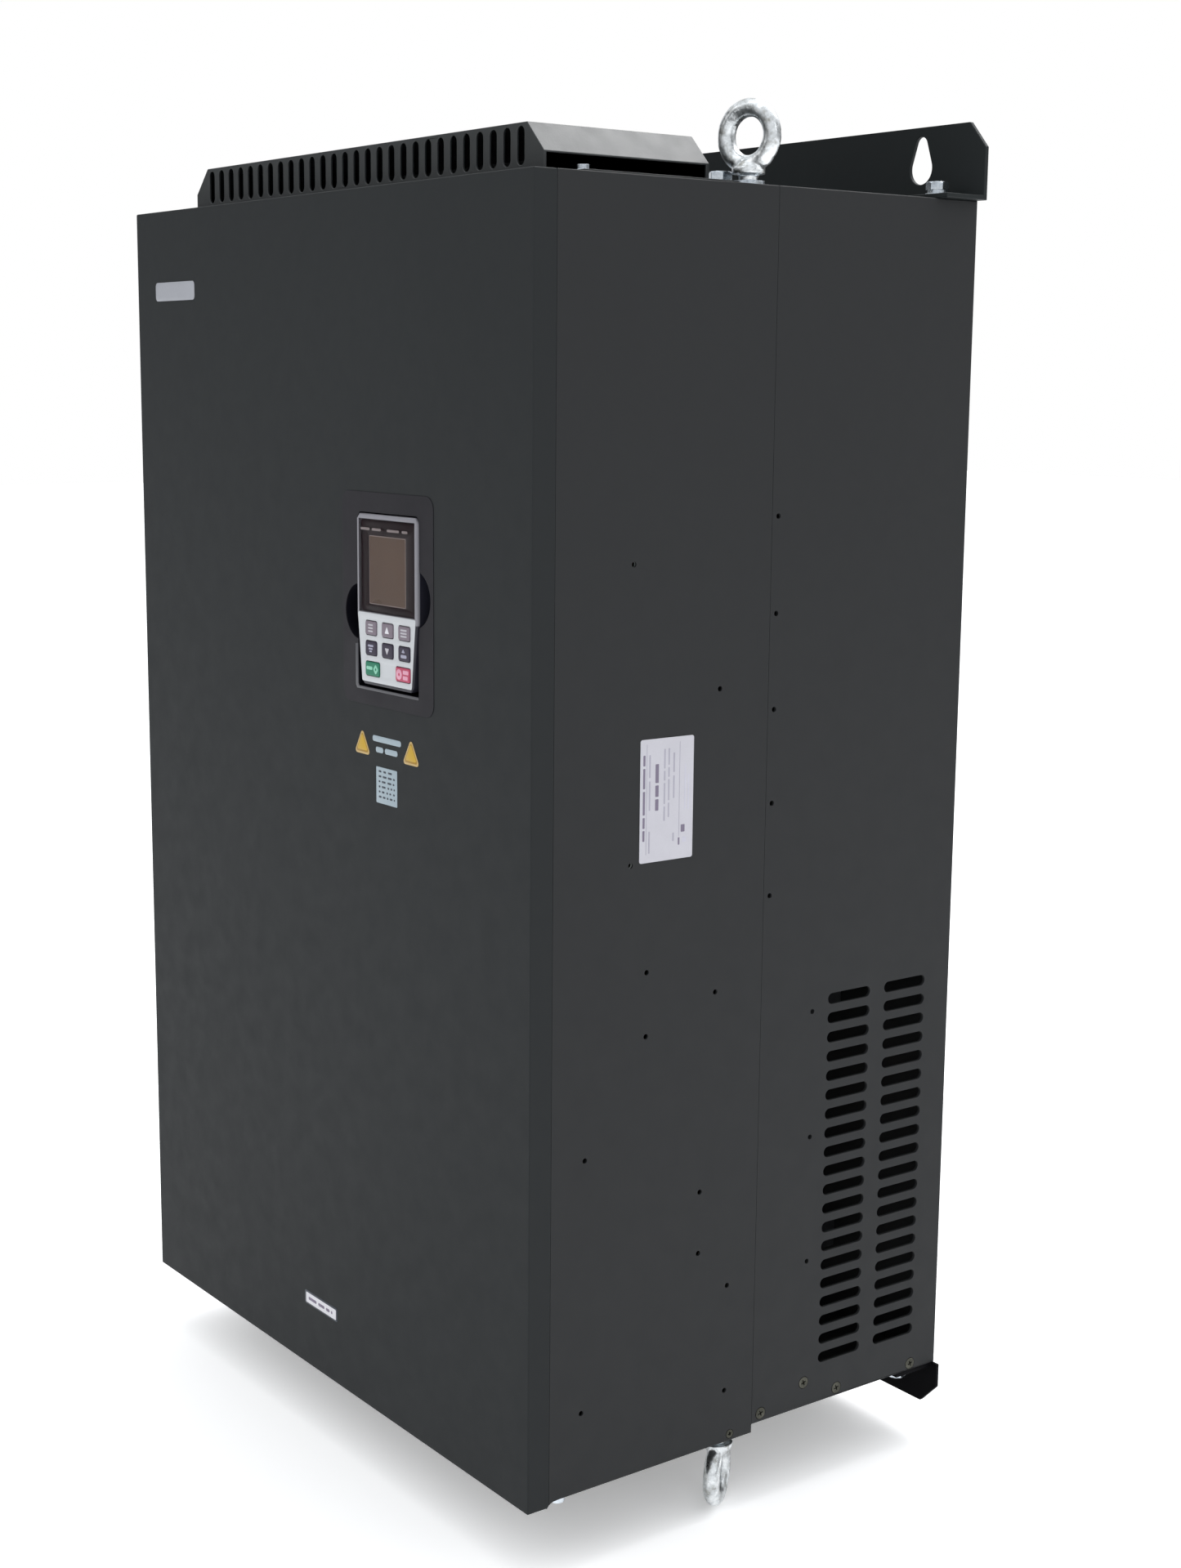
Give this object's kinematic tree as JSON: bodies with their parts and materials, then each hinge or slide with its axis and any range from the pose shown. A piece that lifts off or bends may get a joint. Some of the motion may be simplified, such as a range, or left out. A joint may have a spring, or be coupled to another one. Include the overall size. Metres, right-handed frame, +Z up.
{
  "type": "variable frequency drive",
  "caption": "Wall-mounted sheet-metal motor drive: box with lift-off front cover, keypad, slotted top hood, side vents, rear fan duct, lifting eyes and wall brackets.",
  "frame": {"origin": "centre of the rear wall face, midway between the side panels and halfway up the box", "axes": "+Z up along the height, -Y out of the front cover, +Y into the wall, +X to the right seen from the front"},
  "size_m": [0.516, 0.3516, 0.9],
  "materials": {
    "cover_paint": "fine-textured dark grey powder coat",
    "shell_paint": "fine-textured dark grey powder coat",
    "bracket_paint": "darker grey powder coat",
    "print": "printed film",
    "bezel": "moulded, fine texture",
    "keypad_grey": "moulded light grey",
    "window": "smoked acrylic",
    "lcd": "display cell",
    "key_mauve": "soft matt",
    "key_navy": "soft matt",
    "key_green": "soft matt",
    "key_red": "soft matt",
    "zinc": "bright zinc plate",
    "dark_screw": "black oxide",
    "galv": "galvanised sheet",
    "label": "printed film",
    "rubber": "matt rubber",
    "fins": "extruded",
    "module_case": "glass-filled moulding",
    "module_dark": "glass-filled moulding",
    "can": "sleeved can",
    "copper": "bare copper",
    "sensor": "moulded",
    "terminal": "moulded",
    "pcb": "solder mask",
    "pcb_blue": "solder mask",
    "parts": "mixed components",
    "core": "varnished laminations",
    "winding": "varnished winding",
    "fan_black": "moulded"
  },
  "bodies": {
    "drive_box": {"side_left": "shell_paint", "side_right": "shell_paint", "top_plate": "shell_paint", "bottom_plate": "shell_paint", "chassis_left": "shell_paint", "chassis_right": "shell_paint", "chassis_top": "shell_paint", "chassis_bottom": "shell_paint", "rear_panel": "shell_paint", "partition": "galv", "vent_hood": "cover_paint", "wall_bracket_top": "bracket_paint", "wall_bracket_bottom": "bracket_paint", "hex_bolts": "zinc", "spring_washers": "zinc", "flat_washers": "zinc", "eye_bolts_top": "zinc", "eye_bolts_bottom": "zinc", "lifting_plates": "galv", "hood_screws": "zinc", "side_screws": "dark_screw", "cover_screws": "zinc", "nameplate": "label", "cable_grommets": "rubber", "heatsink": "fins", "igbt_modules": "module_case", "rectifier_modules": "module_dark", "dc_capacitors": "can", "dc_busbars": "copper", "input_busbars": "copper", "output_busbars": "copper", "current_sensors": "sensor", "terminal_blocks": "terminal", "terminal_hardware": "zinc", "board_tray": "galv", "control_board": "pcb", "board_components": "parts", "power_board": "pcb_blue", "dc_reactor_core": "core", "dc_reactor_coils": "winding", "fan_frames": "fan_black", "fan_guards": "zinc"},
    "cover": {"front_cover": "cover_paint", "cover_labels": "print", "keypad_tray": "bezel"},
    "keypad": {"keypad_housing": "keypad_grey", "keypad_window": "window", "lcd_module": "lcd"},
    "key_menu_cap": {"key_menu": "key_mauve"},
    "key_up_cap": {"key_up": "key_mauve"},
    "key_data_cap": {"key_data": "key_mauve"},
    "key_quick_cap": {"key_quick": "key_navy"},
    "key_down_cap": {"key_down": "key_navy"},
    "key_shift_cap": {"key_shift": "key_navy"},
    "key_run_cap": {"key_run": "key_green"},
    "key_stop_cap": {"key_stop": "key_red"},
    "fan_rotor_left_body": {"fan_rotor_left": "fan_black"},
    "fan_rotor_centre_body": {"fan_rotor_centre": "fan_black"},
    "fan_rotor_right_body": {"fan_rotor_right": "fan_black"}
  },
  "joints": [
    {"name": "cover_pull", "type": "slide", "parent": "drive_box", "child": "cover", "axis": [0, -1, 0], "range_m": [0, 0.15]},
    {"name": "keypad_pull", "type": "slide", "parent": "cover", "child": "keypad", "axis": [0, -1, 0], "range_m": [0, 0.04]},
    {"name": "key_menu_press", "type": "slide", "parent": "keypad", "child": "key_menu_cap", "axis": [0, 1, 0], "range_m": [0, 0.0008], "stiffness_N_per_m": 1500},
    {"name": "key_up_press", "type": "slide", "parent": "keypad", "child": "key_up_cap", "axis": [0, 1, 0], "range_m": [0, 0.0008], "stiffness_N_per_m": 1500},
    {"name": "key_data_press", "type": "slide", "parent": "keypad", "child": "key_data_cap", "axis": [0, 1, 0], "range_m": [0, 0.0008], "stiffness_N_per_m": 1500},
    {"name": "key_quick_press", "type": "slide", "parent": "keypad", "child": "key_quick_cap", "axis": [0, 1, 0], "range_m": [0, 0.0008], "stiffness_N_per_m": 1500},
    {"name": "key_down_press", "type": "slide", "parent": "keypad", "child": "key_down_cap", "axis": [0, 1, 0], "range_m": [0, 0.0008], "stiffness_N_per_m": 1500},
    {"name": "key_shift_press", "type": "slide", "parent": "keypad", "child": "key_shift_cap", "axis": [0, 1, 0], "range_m": [0, 0.0008], "stiffness_N_per_m": 1500},
    {"name": "key_run_press", "type": "slide", "parent": "keypad", "child": "key_run_cap", "axis": [0, 1, 0], "range_m": [0, 0.0008], "stiffness_N_per_m": 1500},
    {"name": "key_stop_press", "type": "slide", "parent": "keypad", "child": "key_stop_cap", "axis": [0, 1, 0], "range_m": [0, 0.0008], "stiffness_N_per_m": 1500},
    {"name": "fan_spin_left", "type": "hinge", "parent": "drive_box", "child": "fan_rotor_left_body", "pos_m": [-0.15, -0.104, 0.38], "axis": [0, 0, 1], "continuous": true},
    {"name": "fan_spin_centre", "type": "hinge", "parent": "drive_box", "child": "fan_rotor_centre_body", "pos_m": [0, -0.104, 0.38], "axis": [0, 0, 1], "continuous": true},
    {"name": "fan_spin_right", "type": "hinge", "parent": "drive_box", "child": "fan_rotor_right_body", "pos_m": [0.15, -0.104, 0.38], "axis": [0, 0, 1], "continuous": true}
  ]
}
